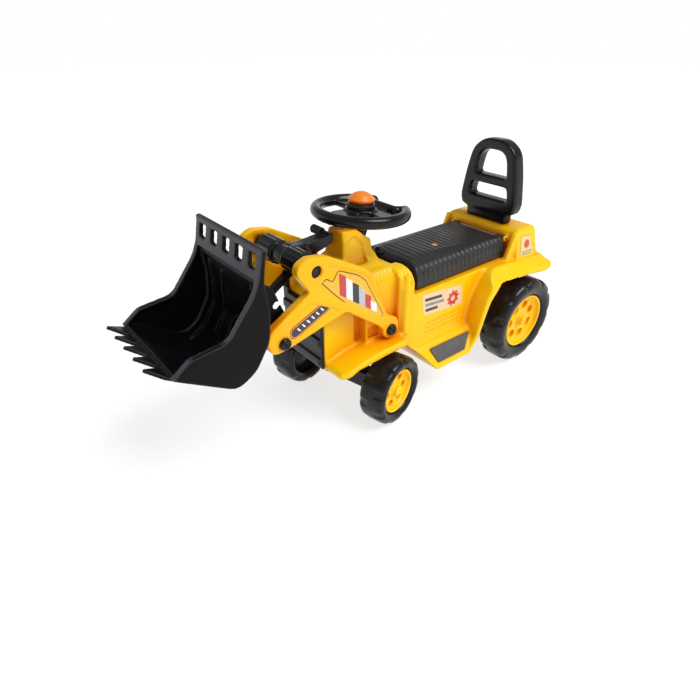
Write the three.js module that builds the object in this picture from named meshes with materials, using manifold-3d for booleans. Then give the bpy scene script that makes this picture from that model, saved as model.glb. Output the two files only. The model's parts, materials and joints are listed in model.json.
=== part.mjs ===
// Ride-on digger: a moulded plastic foot-to-floor vehicle with a steered front axle, a lidded seat, a backrest
// and a front bucket on two lift arms. Millimetres. +X points to the bucket, +Y to the rider's left, +Z up.
// The origin is on the floor, under the middle of the whole object.
import * as THREE from "three";
import { mergeVertices } from "three/addons/utils/BufferGeometryUtils.js";
import Module from "manifold-3d";

const wasm = await Module();
wasm.setup();

// ---------------------------------------------------------------- driving dimensions
const LENGTH = 800;
const GAP = 0.3; // running gap between pieces that touch
const WALL = 5; // body wall

const FRONT_AXLE_X = 52.9;
const FRONT_TYRE_R = 60;
const FRONT_TYRE_WIDTH = 48;
const FRONT_TRACK_Y = 98.5; // middle of each front wheel
const FRONT_RIM_R = 39;
const REAR_AXLE_X = -295.6;
const REAR_TYRE_R = 84.5;
const REAR_TYRE_WIDTH = 52;
const REAR_TRACK_Y = 106.5;
const REAR_RIM_R = 53;
const AXLE_R = 4;
const STEER_AT_REST = THREE.MathUtils.degToRad(13); // wheels turned to the rider's left

const WHEEL_CENTRE = new THREE.Vector3(17.5, 0, 334); // steering wheel
const COLUMN_FOOT = new THREE.Vector3(FRONT_AXLE_X, 0, 118);
const COLUMN_RAKE = Math.atan2(COLUMN_FOOT.x - WHEEL_CENTRE.x, WHEEL_CENTRE.z - COLUMN_FOOT.z);
const RING_TILT = THREE.MathUtils.degToRad(4); // steering ring against the floor plane
const RING_R = 68.7;
const RING_TUBE_R = 9;

const BODY_HALF = 80; // body at the seat
const NOSE_HALF = 51;
const NOSE_FRONT = 130;
const NOSE_TOP = 256;
const SHOULDER_HALF = 62; // nose behind its side pockets, just inside the arms
const SEAT_LEVEL = 205;
const NOTCH_HALF = 36; // lever notch in the top of the nose
const STEP_FOOT = new THREE.Vector2(118, 72); // y, z of the running board's lower edge
const STEP_TOP = new THREE.Vector2(94, 107);

const ARM_PIVOT = new THREE.Vector2(17, 159); // x, z of the arms' pivot on the body
const KNEE = new THREE.Vector2(158, 298); // lever hub
const BUCKET_PIVOT = new THREE.Vector2(216, 210);
const ARM_INNER = 64;
const ARM_OUTER = 78;
const PIVOT_SHAFT_R = 6;
const KNEE_SHAFT_R = 6.4;
const BUCKET_SHAFT_R = 5;

// The lever's crank pin and the bucket's link pin sit on opposite sides of the line from knee to bucket pivot.
const LEVER_CRANK = 30;
const BUCKET_CRANK = 16;
const LEVER_SWING = THREE.MathUtils.degToRad(16);
const BUCKET_SWING = THREE.MathUtils.degToRad(30);
const LINE_ANGLE = Math.atan2(BUCKET_PIVOT.y - KNEE.y, BUCKET_PIVOT.x - KNEE.x);
const SIDE_ANGLE = LINE_ANGLE + Math.PI / 2;
const LEVER_PIN = polar(KNEE, LEVER_CRANK, SIDE_ANGLE + Math.PI - LEVER_SWING / 2);
const BUCKET_PIN = polar(BUCKET_PIVOT, BUCKET_CRANK, SIDE_ANGLE + BUCKET_SWING / 2);
const LEVER_PIN_R = 4;
const BUCKET_PIN_R = 3.5;
const LINK_HALF = 6;
const OPEN_PIVOT_GAP = 1.5; // clearance of the link's eye on the bucket's pin
const GRIP = new THREE.Vector2(84, 312);

const BUCKET_HALF = 88.3;
const BUCKET_WALL = 4.3;
const TEETH_Y = [-64, -32, 0, 32, 64];
const TOOTH_SLOPE = THREE.MathUtils.degToRad(34);
const CUTTING_EDGE = new THREE.Vector2(374.6, 224.6);

const HINGE = new THREE.Vector2(-280.5, 237.5); // seat lid hinge
const HINGE_ROD_R = 2;
const KNOB_X = -23; // latch knob that holds the lid's front edge

const BACKREST_X0 = -320;
const BACKREST_X1 = -295;

// ---------------------------------------------------------------- materials
const YELLOW = { color: 0xf7c500, roughness: 0.32, metalness: 0 };
const BLACK = { color: 0x1b1b1d, roughness: 0.3, metalness: 0 };
const CHARCOAL = { color: 0x3a3a3d, roughness: 0.5, metalness: 0 };
const ORANGE = { color: 0xf08a24, roughness: 0.35, metalness: 0 };
const GREY = { color: 0x5c5c5e, roughness: 0.8, metalness: 0 };
const STEEL = { color: 0xa8aaae, roughness: 0.35, metalness: 1 };

// ---------------------------------------------------------------- helpers
function polar(centre, radius, angle) {
  return new THREE.Vector2(centre.x + radius * Math.cos(angle), centre.y + radius * Math.sin(angle));
}

// A closed three.js geometry as a solid.
function solid(geometry) {
  const bare = geometry.index ? geometry.toNonIndexed() : geometry.clone();
  bare.deleteAttribute("normal");
  bare.deleteAttribute("uv");
  const merged = mergeVertices(bare, 1e-4);
  const triVerts = new Uint32Array(merged.index.array);
  const vertProperties = merged.attributes.position.array;
  const made = new wasm.Manifold(new wasm.Mesh({ numProp: 3, vertProperties, triVerts }));
  if (made.volume() > 0) return made;
  for (let i = 0; i < triVerts.length; i += 3) {
    [triVerts[i + 1], triVerts[i + 2]] = [triVerts[i + 2], triVerts[i + 1]];
  }
  return new wasm.Manifold(new wasm.Mesh({ numProp: 3, vertProperties, triVerts }));
}

function join(...solids) {
  return solids.reduce((all, next) => all.add(next));
}

function cut(from, ...tools) {
  return tools.reduce((left, tool) => left.subtract(tool), from);
}

function mesh(name, manifold, look) {
  const data = manifold.getMesh();
  const geometry = new THREE.BufferGeometry();
  geometry.setAttribute("position", new THREE.BufferAttribute(data.vertProperties, 3));
  geometry.setIndex(new THREE.BufferAttribute(data.triVerts, 1));
  geometry.computeVertexNormals();
  const made = new THREE.Mesh(geometry, new THREE.MeshStandardMaterial(look));
  made.name = name;
  return made;
}

function box(x0, x1, y0, y1, z0, z1) {
  const geometry = new THREE.BoxGeometry(x1 - x0, y1 - y0, z1 - z0);
  geometry.translate((x0 + x1) / 2, (y0 + y1) / 2, (z0 + z1) / 2);
  return solid(geometry);
}

// A closed outline from [a, b] or [a, b, corner radius] points. A radius never takes up half of an edge.
function outline(points) {
  const shape = new THREE.Shape();
  const count = points.length;
  points.forEach(([a, b, wanted = 0], i) => {
    const here = new THREE.Vector2(a, b);
    const before = points[(i + count - 1) % count];
    const after = points[(i + 1) % count];
    if (!wanted) {
      if (i === 0) shape.moveTo(a, b);
      else shape.lineTo(a, b);
      return;
    }
    const edges = [before, after].map((p) => Math.hypot(p[0] - a, p[1] - b));
    const radius = Math.min(wanted, 0.45 * Math.min(...edges));
    const towards = (p) => new THREE.Vector2(p[0] - a, p[1] - b).normalize().multiplyScalar(radius).add(here);
    const from = towards(before);
    const to = towards(after);
    if (i === 0) shape.moveTo(from.x, from.y);
    else shape.lineTo(from.x, from.y);
    shape.quadraticCurveTo(a, b, to.x, to.y);
  });
  shape.closePath();
  return shape;
}

function extruded(shape, depth, curveSegments) {
  return new THREE.ExtrudeGeometry(shape, { depth, bevelEnabled: false, curveSegments });
}

// An outline in x, z drawn out along y.
function sideways(points, y0, y1, curveSegments = 3) {
  const shape = points instanceof THREE.Shape ? points : outline(points);
  const geometry = extruded(shape, y1 - y0, curveSegments);
  geometry.rotateX(Math.PI / 2);
  geometry.translate(0, y1, 0);
  return solid(geometry);
}

// An outline in x, y drawn out along z.
function upwards(points, z0, z1, curveSegments = 3) {
  const shape = points instanceof THREE.Shape ? points : outline(points);
  const geometry = extruded(shape, z1 - z0, curveSegments);
  geometry.translate(0, 0, z0);
  return solid(geometry);
}

// An outline in y, z drawn out along x.
function forwards(points, x0, x1, curveSegments = 3) {
  const shape = points instanceof THREE.Shape ? points : outline(points);
  const geometry = extruded(shape, x1 - x0, curveSegments);
  const turn = new THREE.Matrix4().makeBasis(
    new THREE.Vector3(0, 1, 0),
    new THREE.Vector3(0, 0, 1),
    new THREE.Vector3(1, 0, 0),
  );
  geometry.applyMatrix4(turn);
  geometry.translate(x0, 0, 0);
  return solid(geometry);
}

// Half an outline in y, z from the floor side up, mirrored about y = 0.
function mirrored(half) {
  const other = half.map(([y, z, radius = 0]) => [-y, z, radius]).reverse();
  return [...half, ...other];
}

function rodY(radius, centre, y0, y1, sides = 16) {
  const geometry = new THREE.CylinderGeometry(radius, radius, y1 - y0, sides);
  geometry.translate(centre.x, (y0 + y1) / 2, centre.y);
  return solid(geometry);
}

function rodZ(radius, x, y, z0, z1, sides = 16) {
  const geometry = new THREE.CylinderGeometry(radius, radius, z1 - z0, sides);
  geometry.rotateX(Math.PI / 2);
  geometry.translate(x, y, (z0 + z1) / 2);
  return solid(geometry);
}

// A round profile of [radius, height] points, turned about y.
function turnedY(profile, sides) {
  const points = profile.map(([r, y]) => new THREE.Vector2(r, y));
  return solid(new THREE.LatheGeometry([...points, points[0]], sides));
}

function turnedZ(profile, sides) {
  const points = profile.map(([r, z]) => new THREE.Vector2(r, z));
  const geometry = new THREE.LatheGeometry([...points, points[0]], sides);
  geometry.rotateX(Math.PI / 2);
  return solid(geometry);
}

const both = (make) => join(make(1), make(-1));
const spanY = (side, near, far) => (side > 0 ? [near, far] : [-far, -near]);

// ---------------------------------------------------------------- body
function bodyOuter() {
  const nose = sideways(
    [[-8, 112], [NOSE_FRONT, 112, 4], [NOSE_FRONT, NOSE_TOP - 3, 10], [-8, NOSE_TOP + 1]],
    -NOSE_HALF,
    NOSE_HALF,
  ).intersect(forwards(mirrored([[NOSE_HALF, 100], [NOSE_HALF, NOSE_TOP, 22]]), -30, 140));
  const hood = forwards(mirrored([[BODY_HALF, 120], [BODY_HALF, 232, 12], [60, 253, 12]]), -31, -2).intersect(
    sideways([[-31, 120], [-2, 120], [-2, 254], [-24, 254, 4], [-31, 246, 4]], -90, 90),
  );
  const cabin = sideways(
    [
      [-2, SEAT_LEVEL],
      [-2, 128],
      [-34, 100, 10],
      [-62, 65, 4],
      [-146, 65, 6],
      [-169, 90, 6],
      [-190, 155, 10],
      [-216, 184, 10],
      [-290, 184],
      [-290, SEAT_LEVEL],
    ],
    -120,
    120,
  ).intersect(
    forwards(
      mirrored([
        [STEP_FOOT.x, 60],
        [STEP_FOOT.x, STEP_FOOT.y, 4],
        [STEP_TOP.x, STEP_TOP.y, 4],
        [82, 113, 4],
        [BODY_HALF, 132],
        [BODY_HALF, SEAT_LEVEL],
      ]),
      -300,
      10,
    ),
  );
  const rearFenders = both((side) =>
    sideways(
      [
        [-138, 65],
        [-146, 65],
        [-169, 90, 6],
        [-190, 155, 10],
        [-216, 184, 10],
        [-300, 178],
        [-352, 170],
        [-372, 172],
        [-372, 186],
        [-352, 200],
        [-205, 206, 20],
        [-177, 160, 10],
        [-160, 94, 6],
      ],
      ...spanY(side, 60, 118),
    ).intersect(forwards([[side * 60, 60], [side * 118, 60], [side * 118, 182, 5], [side * 90, 207], [side * 60, 207]], -380, -100)),
  );
  const frontFenders = both((side) =>
    sideways(
      [[-4, 129], [40, 128, 8], [100, 124, 8], [118, 116, 6], [130, 115], [130, 126, 4], [98, 135, 10], [44, 141, 8], [-4, 142]],
      ...spanY(side, 45, 98),
    ).intersect(
      upwards([[-10, side * 40], [140, side * 40], [140, side * 84], [118, side * 98, 8], [-10, side * 98]], 100, 170),
    ),
  );
  const deck = sideways([[-288, 195], [-288, 248, 4], [-296, 255, 4], [-344, 255, 6], [-354, 196]], -95, 95).intersect(
    forwards(mirrored([[93, 190], [82, 256, 10]]), -360, -280),
  );
  const seatCheeks = both((side) =>
    sideways([[-262, 200], [-290, 200], [-290, 250], [-283, 252, 3], [-268, 214, 6]], ...spanY(side, 74, 84)),
  );
  const tail = sideways(
    [[-340, 176], [-340, 202], [-354, 202], [-372, 186, 6], [-400, 172], [-400, 166], [-372, 172, 6]],
    -104,
    104,
  ).intersect(upwards([[-330, -104], [-400, -101, 8], [-400, 101, 8], [-330, 104]], 150, 220));
  const rearBox = sideways([[-196, 62], [-338, 62, 10], [-348, 120], [-350, 190], [-196, 190]], -66, 66);
  const neck = sideways([[4, 250], [10, 262, 8], [13, 294], [40, 314, 6], [68, 316, 4], [72, 262, 8], [82, 250]], -32, 32)
    .intersect(forwards(mirrored([[32, 250], [25, 262, 8], [20, 300], [17, 320]]), -10, 90));
  const pivotBosses = both((side) => rodY(16, ARM_PIVOT, ...spanY(side, 45, ARM_INNER - GAP)));
  const neckFoot = sideways([[0, 250], [5, 260, 6], [8, 274], [77, 274], [78, 262, 6], [82, 250]], -50, 50)
    .intersect(forwards(mirrored([[47, 250], [39, 257, 8], [28, 268, 10], [24, 275]]), -10, 90));
  const shoulders = sideways([[-8, 114], [56, 114], [56, 240, 6], [50, 254, 6], [-8, 254]], -SHOULDER_HALF, SHOULDER_HALF)
    .intersect(forwards(mirrored([[SHOULDER_HALF, 100], [SHOULDER_HALF, 241, 12], [48, 255]]), -30, 140));
  return join(
    nose,
    shoulders,
    neckFoot,
    hood,
    cabin,
    rearFenders,
    frontFenders,
    deck,
    seatCheeks,
    tail,
    rearBox,
    neck,
    pivotBosses,
  );
}

function bodyHollows() {
  const inNose = box(-30, NOSE_FRONT - 6, -NOSE_HALF + 6, NOSE_HALF - 6, 90, NOSE_TOP - WALL);
  const inShoulders = box(-8, 48, -56, 56, 145, 230);
  const inHood = box(-26, -7, -BODY_HALF + 8, BODY_HALF - 8, 120, 226);
  const inCabin = sideways(
    [[-8, 199], [-8, 134], [-42, 98], [-70, 60], [-70, 40], [-136, 40], [-138, 68], [-160, 95], [-181, 158], [-210, 199]],
    -120,
    120,
  ).intersect(forwards(mirrored([[110, 40], [110, 68], [88, 101], [77, 108], [BODY_HALF - WALL, 130], [BODY_HALF - WALL, 210]]), -300, 10));
  const inRear = box(-332, -152, -60, 60, 30, 199);
  const inDeck = sideways([[-293, 190], [-293, 248], [-340, 249], [-346, 190]], -75, 75);
  const inFenders = both((side) =>
    forwards(
      [[side * 70, 60], [side * 112, 60], [side * 112, 178], [side * 88, 200], [side * 70, 200]],
      -346,
      -214,
    ),
  );
  const binMouth = box(-250, -70, -58, 58, 190, 215);
  const column = columnRod(8.5, -120, 240, 16);
  const collarSeat = columnRod(17, -45, 20, 20);
  const axle = rodY(AXLE_R + GAP, new THREE.Vector2(REAR_AXLE_X, REAR_TYRE_R), -80, 80);
  const pivot = rodY(PIVOT_SHAFT_R + GAP, ARM_PIVOT, -90, 90);
  const windows = both((side) => box(29, 52, ...spanY(side, SHOULDER_HALF - 4, SHOULDER_HALF + 1), 146, 166));
  const niches = both((side) => box(-27, 1, ...spanY(side, 74, BODY_HALF + 1), 142, 240));
  const knobHole = rodZ(4.3, KNOB_X, 0, 240, 260, 14);
  const inSide = [inNose, inShoulders, inHood, inCabin, inRear, inDeck, inFenders];
  return [...inSide, binMouth, column, collarSeat, axle, pivot, windows, niches, knobHole];
}

// A cylinder on the steering column's axis, from z0 to z1 measured up the column from the wheel's centre.
function columnRod(radius, z0, z1, sides) {
  const geometry = new THREE.CylinderGeometry(radius, radius, z1 - z0, sides);
  geometry.rotateX(Math.PI / 2);
  geometry.translate(0, 0, (z0 + z1) / 2);
  geometry.rotateY(-COLUMN_RAKE);
  geometry.translate(WHEEL_CENTRE.x, WHEEL_CENTRE.y, WHEEL_CENTRE.z);
  return solid(geometry);
}

// The sloping notch in the nose that the lever's grip swings down into when the arms are low.
function leverNotch() {
  return sideways([[103, 257.5], [142, 208.5], [150, 208.5], [150, 262], [103, 262]], -NOTCH_HALF, NOTCH_HALF);
}

function bodyShell() {
  const hingeLugs = both((side) => box(-290, HINGE.x + 4, ...spanY(side, 59, 66), 231, HINGE.y + 4));
  const notchFloor = sideways(
    [[92, 252], [98, 254], [NOSE_FRONT - 2, 254], [NOSE_FRONT - 2, 212], [124, 206]],
    -NOTCH_HALF - WALL,
    NOTCH_HALF + WALL,
  );
  const pocketWalls = both((side) => box(50, 74, ...spanY(side, 36, NOSE_HALF - 1), 138, 218));
  const pockets = both((side) => box(56, 70, ...spanY(side, 40, SHOULDER_HALF + 1), 142, 214));
  const pillars = both((side) => join(rodZ(8.5, -15, side * 75, 140, 224, 14), rodZ(6, -15, side * 75, 222, 241, 14)));
  const hollow = cut(bodyOuter(), ...bodyHollows());
  const shell = cut(join(hollow, hingeLugs, notchFloor, pocketWalls, pillars), leverNotch(), pockets);
  const hingeBore = rodY(HINGE_ROD_R + GAP, HINGE, -67, 67, 14);
  const screwHoles = both((side) => rodZ(3.3, -307.5, side * 34, 245, 260, 12));
  return cut(shell, hingeBore, screwHoles);
}

function frontGrille() {
  const plate = box(NOSE_FRONT + GAP, NOSE_FRONT + 5, -50, 50, 116, 252);
  const slats = [122, 157, 192, 227].map((z) => box(NOSE_FRONT + 4, NOSE_FRONT + 9, -47, 47, z, z + 14));
  return cut(join(plate, ...slats), leverNotch());
}

function chassisBase() {
  const plate = box(-14, NOSE_FRONT - 7, -44, 44, 106, 111.5);
  const tower = rodZ(15, FRONT_AXLE_X, 0, 106, 121, 24);
  return cut(join(plate, tower), rodZ(10.3, FRONT_AXLE_X, 0, 90, 130, 24));
}

function storageBin() {
  const outer = box(-249.5, -70.5, -57.5, 57.5, 90, 204.5);
  return cut(outer, box(-246.5, -73.5, -54.5, 54.5, 93, 210));
}

function backrest() {
  const shape = outline([
    [-58, 274, 12],
    [58, 274, 12],
    [63, 292, 6],
    [56, 340, 14],
    [46, 382, 16],
    [22, 400, 20],
    [-22, 400, 20],
    [-46, 382, 16],
    [-56, 340, 14],
    [-63, 292, 6],
  ]);
  const plate = forwards(shape, BACKREST_X0, BACKREST_X1, 5);
  const top = forwards([[-36, 336, 5], [36, 336, 5], [28, 383, 22], [-28, 383, 22]], BACKREST_X0 - 2, BACKREST_X1 + 2, 5);
  const lower = forwards([[-44, 296, 6], [44, 296, 6], [39, 322, 6], [-39, 322, 6]], BACKREST_X0 - 2, BACKREST_X1 + 2, 3);
  const post = box(BACKREST_X0 + 2, BACKREST_X1 - 2, -45, 45, 255 + GAP, 278);
  const screwHoles = both((side) => rodZ(3.3, -307.5, side * 34, 250, 268, 12));
  return cut(join(cut(plate, top, lower), post), screwHoles);
}

// A countersunk screw that stands under the deck and runs up into the backrest's post.
function backrestScrew(side) {
  const shank = rodZ(3, -307.5, side * 34, 244, 267, 12);
  const head = rodZ(6, -307.5, side * 34, 240, 244.5, 12);
  return join(shank, head);
}

// A ribbed strip on the sloping face of the running board, drawn flat and tipped on to the slope.
function stepPad(side) {
  const shape = outline([[-134, -14, 3], [-66, -14, 3], [-57, 14, 3], [-160, 13, 3]]);
  const geometry = extruded(shape, 2, 2);
  geometry.translate(0, 0, -2 - GAP);
  geometry.rotateX(Math.atan2(STEP_TOP.y - STEP_FOOT.y, STEP_TOP.x - STEP_FOOT.x));
  geometry.translate(0, (STEP_TOP.x + STEP_FOOT.x) / 2, (STEP_TOP.y + STEP_FOOT.y) / 2);
  if (side < 0) geometry.scale(1, -1, 1);
  return solid(geometry);
}

// ---------------------------------------------------------------- seat
function seatLid() {
  const profile = [[-46, 207], [-274, 207], [-274, 241.5, 4], [-200, 245, 12], [-80, 250, 12], [-52, 247, 8], [-46, 236, 4]];
  const outer = sideways(profile, -70, 70).intersect(forwards(mirrored([[70, 206], [70, 226, 8], [62, 241, 10], [30, 251, 20]]), -290, -40));
  const inner = sideways([[-50, 200], [-270, 200], [-270, 236], [-80, 241], [-52, 238]], -66, 66)
    .intersect(forwards(mirrored([[66, 190], [66, 223], [58, 236], [30, 245]]), -290, -40));
  const knuckles = both((side) => rodY(4.5, HINGE, ...spanY(side, 44, 58.5), 14));
  const webs = both((side) => box(HINGE.x, -272, ...spanY(side, 44, 58.5), 233.5, 241));
  const bore = rodY(HINGE_ROD_R + GAP, HINGE, -60, 60, 14);
  return cut(join(cut(outer, inner), knuckles, webs), bore);
}

function seatKnob() {
  const profile = [[0, 253.4], [8.6, 253.4], [9.6, 258], [8.8, 263], [5.2, 266], [0, 266.6]];
  const points = profile.map(([r, z]) => new THREE.Vector2(r, z));
  const geometry = new THREE.LatheGeometry(points, 16);
  geometry.rotateX(Math.PI / 2);
  geometry.translate(KNOB_X, 0, 0);
  return join(solid(geometry), rodZ(4, KNOB_X, 0, 246, 256, 14));
}

// ---------------------------------------------------------------- wheels
// A tyre with a closed inner face, which the axle runs through and the hub lies against.
function tyre(radius, width, rim) {
  const half = width / 2;
  const bead = rim + GAP;
  const innerFace = turnedY(
    [
      [AXLE_R + GAP, -half * 0.6],
      [14, -half * 0.6],
      [18, -half * 0.45],
      [bead + 2, -half * 0.45],
      [bead + 2, -half * 0.25],
      [AXLE_R + GAP, -half * 0.25],
    ],
    24,
  );
  const ring = turnedY(
    [
      [bead, -half * 0.62],
      [bead + 3, -half * 0.86],
      [(radius + rim) / 2, -half],
      [radius * 0.95, -half * 0.84],
      [radius, -half * 0.5],
      [radius, half * 0.5],
      [radius * 0.95, half * 0.84],
      [(radius + rim) / 2, half],
      [bead + 3, half * 0.86],
      [bead, half * 0.62],
    ],
    24,
  );
  return join(ring, innerFace);
}

function hub(rim, depth, holes, holeRing, back) {
  const dish = turnedY(
    [
      [AXLE_R + GAP, back],
      [9, back],
      [9, 6],
      [rim - 4.5, 6],
      [rim - 4.5, back],
      [rim, back],
      [rim, depth],
      [rim - 3.5, depth],
      [rim - 5, 10],
      [11, 10],
      [10, depth - 4],
      [AXLE_R + GAP, depth - 4],
    ],
    24,
  );
  const tools = [];
  for (let i = 0; i < holes; i += 1) {
    const geometry = new THREE.CylinderGeometry(1, 1, 20, 8);
    geometry.scale(rim * 0.13, 1, rim * 0.16);
    geometry.translate(holeRing, 8, 0);
    geometry.rotateY((i / holes) * Math.PI * 2);
    tools.push(solid(geometry));
  }
  return cut(dish, ...tools);
}

function hubCap(depth) {
  const base = depth - 4 + GAP;
  const points = [[0, base], [9, base], [9, base + 2], [6, base + 4], [0, base + 4.6]];
  return solid(new THREE.LatheGeometry(points.map(([r, y]) => new THREE.Vector2(r, y)), 18));
}

// One wheel as a group whose +Y looks outward.
function wheel(name, axle, side) {
  const front = axle === "front";
  const rim = front ? FRONT_RIM_R : REAR_RIM_R;
  const depth = front ? 19 : 21;
  const radius = front ? FRONT_TYRE_R : REAR_TYRE_R;
  const width = front ? FRONT_TYRE_WIDTH : REAR_TYRE_WIDTH;
  const group = new THREE.Group();
  group.add(mesh(`${name}_tyre`, tyre(radius, width, rim), BLACK));
  group.add(mesh(`${name}_hub`, hub(rim, depth, front ? 6 : 7, rim * 0.6, GAP - width * 0.125), YELLOW));
  group.add(mesh(`${name}_hub_cap`, hubCap(depth), YELLOW));
  group.rotation.x = side > 0 ? 0 : Math.PI;
  return group;
}

// ---------------------------------------------------------------- front axle and steering
function frontCarrier() {
  const beam = box(-13, 13, -66, 66, 46, 76);
  const turntable = rodZ(24, 0, 0, 76, 100, 24);
  const kingpin = rodZ(10, 0, 0, 98, 124, 24);
  const slot = box(-1.8 - 1.4, 3.2, -12, 12, 113, 130);
  return cut(join(beam, turntable, kingpin), rodY(AXLE_R + GAP, new THREE.Vector2(0, FRONT_TYRE_R), -70, 70), slot);
}

function steeringShaft() {
  const length = WHEEL_CENTRE.distanceTo(COLUMN_FOOT);
  const rod = rodZ(5, 0, 0, -length + 8, -20, 16);
  const tongue = box(-1.8, 1.8, -6.5, 6.5, -length - 2.5, -length + 12);
  return join(rod, tongue);
}

function columnCollar() {
  return cut(turnedZ([[0, -42], [12.5, -42], [14, -30], [16.4, -21], [18.8, -15], [18.8, -12], [0, -12]], 22), rodZ(5.3, 0, 0, -60, 0, 16));
}

// Ring with a flattened, open rider's side, and a broad hub plate.
class RingArc extends THREE.Curve {
  getPoint(t, target = new THREE.Vector3()) {
    const angle = THREE.MathUtils.degToRad(-148 + 296 * t);
    return target.set(RING_R * Math.cos(angle), RING_R * Math.sin(angle), 0);
  }
}

function steeringWheel() {
  const section = new THREE.Shape();
  section.absarc(0, 0, RING_TUBE_R, 0, Math.PI * 2);
  const arc = solid(
    new THREE.ExtrudeGeometry(section, { extrudePath: new RingArc(), steps: 24, curveSegments: 4, bevelEnabled: false }),
  );
  const chord = rodY(8, new THREE.Vector2(-44, 0), -28, 28, 10);
  const horns = both((side) => {
    const geometry = new THREE.CylinderGeometry(8, 8, 22, 10);
    geometry.rotateZ(side * THREE.MathUtils.degToRad(68));
    geometry.translate(-51, side * 31, 0);
    return solid(geometry);
  });
  const ends = both((side) => {
    const geometry = new THREE.SphereGeometry(RING_TUBE_R, 10, 8);
    geometry.translate(RING_R * Math.cos(2.583), side * RING_R * Math.sin(2.583), 0);
    return solid(geometry);
  });
  const plate = upwards(
    [[-46, -20], [46, -18, 6], [52, 0, 10], [46, 18, 6], [-46, 20]],
    -7,
    1,
  );
  const spokes = box(-24, 4, -63, 63, -6, 2);
  const boss = rodZ(25, 0, 0, -9, 5, 26);
  const bore = rodZ(5.3, 0, 0, -30, -4, 16);
  const socket = rodZ(21.6, 0, 0, -2, 10, 26);
  return cut(join(arc, chord, horns, ends, plate, spokes, boss), bore, socket);
}

function hornBase() {
  return cut(rodZ(21, 0, 0, -1.7, 12, 26), rodZ(18.3, 0, 0, 2.5, 20, 26));
}

function hornButton() {
  const points = [[0, 8.5], [18, 8.5], [18, 15], [20.8, 15.5], [20.8, 19], [17, 24.5], [9, 28], [0, 29]];
  const geometry = new THREE.LatheGeometry(points.map(([r, z]) => new THREE.Vector2(r, z)), 26);
  geometry.rotateX(Math.PI / 2);
  return cut(solid(geometry), rodZ(7, 0, 0, 7, 12.5, 16));
}

class SpringHelix extends THREE.Curve {
  getPoint(t, target = new THREE.Vector3()) {
    const angle = t * Math.PI * 2 * 2.5;
    return target.set(5.4 * Math.cos(angle), 5.4 * Math.sin(angle), 3.4 + 8 * t);
  }
}

function hornSpring() {
  const section = new THREE.Shape();
  section.absarc(0, 0, 0.6, 0, Math.PI * 2);
  return solid(
    new THREE.ExtrudeGeometry(section, { extrudePath: new SpringHelix(), steps: 24, curveSegments: 2, bevelEnabled: false }),
  );
}

// ---------------------------------------------------------------- arms, lever, link and bucket
function arm(side) {
  const plate = sideways(
    [
      [16, 142, 10],
      [0, 150, 8],
      [1, 176, 10],
      [24, 187, 6],
      [62, 272, 10],
      [80, 284, 8],
      [140, 316, 8],
      [172, 321, 8],
      [188, 312, 8],
      [190, 300, 8],
      [170, 271, 6],
      [236, 233, 5],
      [243, 217, 6],
      [234, 196, 8],
      [206, 199, 8],
      [108, 222, 6],
      [40, 172, 6],
    ],
    ...spanY(side, ARM_INNER, ARM_OUTER),
  );
  const bores = [
    rodY(PIVOT_SHAFT_R + GAP, ARM_PIVOT, -90, 90),
    rodY(KNEE_SHAFT_R + GAP, KNEE, -90, 90),
    rodY(BUCKET_SHAFT_R + GAP, BUCKET_PIVOT, -90, 90),
  ];
  return cut(plate, ...bores);
}

function pivotCap(radius, centre, side) {
  const outer = ARM_OUTER + GAP;
  const points = [[0, outer], [radius, outer], [radius, outer + 3], [radius * 0.72, outer + 5.4], [0, outer + 6]];
  const geometry = new THREE.LatheGeometry(points.map(([r, y]) => new THREE.Vector2(r, y)), 20);
  if (side < 0) geometry.rotateX(Math.PI);
  geometry.translate(centre.x, 0, centre.y);
  return solid(geometry);
}

// The bar from the hub to the handle, the hub tube between the arms, and the crank that drives the link.
function controlLever() {
  const bar = sideways([[78, 300, 3], [78, 315, 3], [130, 310, 6], [150, 312], [150, 284], [124, 287, 6]], -10, 10);
  const hubTube = rodY(14, KNEE, -(ARM_INNER - 2), ARM_INNER - 2, 16);
  const collars = both((side) => rodY(18, KNEE, ...spanY(side, 14, 50), 18));
  const cheeks = both((side) =>
    sideways([[148, 281], [168, 288], [160, 312], [130, 309], [119, 290, 5], [122, 277, 6], [134, 275, 6]], ...spanY(side, 6.8, 13)),
  );
  const linkRoom = sideways([[100, 296], [112, 264], [150, 262], [152, 283], [140, 297]], -6.8, 6.8);
  const pin = rodY(LEVER_PIN_R, LEVER_PIN, -13, 13, 16);
  const crossBar = rodY(4.4, GRIP, -31, 9, 14);
  const bore = rodY(KNEE_SHAFT_R + GAP, KNEE, -80, 80);
  return cut(join(cut(join(bar, cheeks), linkRoom), hubTube, collars, pin, crossBar), bore);
}

// The handle points to the rider's right.
function leverGrip() {
  const points = [[4.7, 10.6], [6.6, 10.6], [6.4, 21], [6.8, 31], [5.6, 33.4], [0, 33.6], [0, 31.4], [4.7, 31.4]];
  const geometry = new THREE.LatheGeometry([...points, points[0]].map(([r, y]) => new THREE.Vector2(r, y)), 16);
  geometry.rotateX(Math.PI);
  geometry.translate(GRIP.x, 0, GRIP.y);
  return solid(geometry);
}

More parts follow.
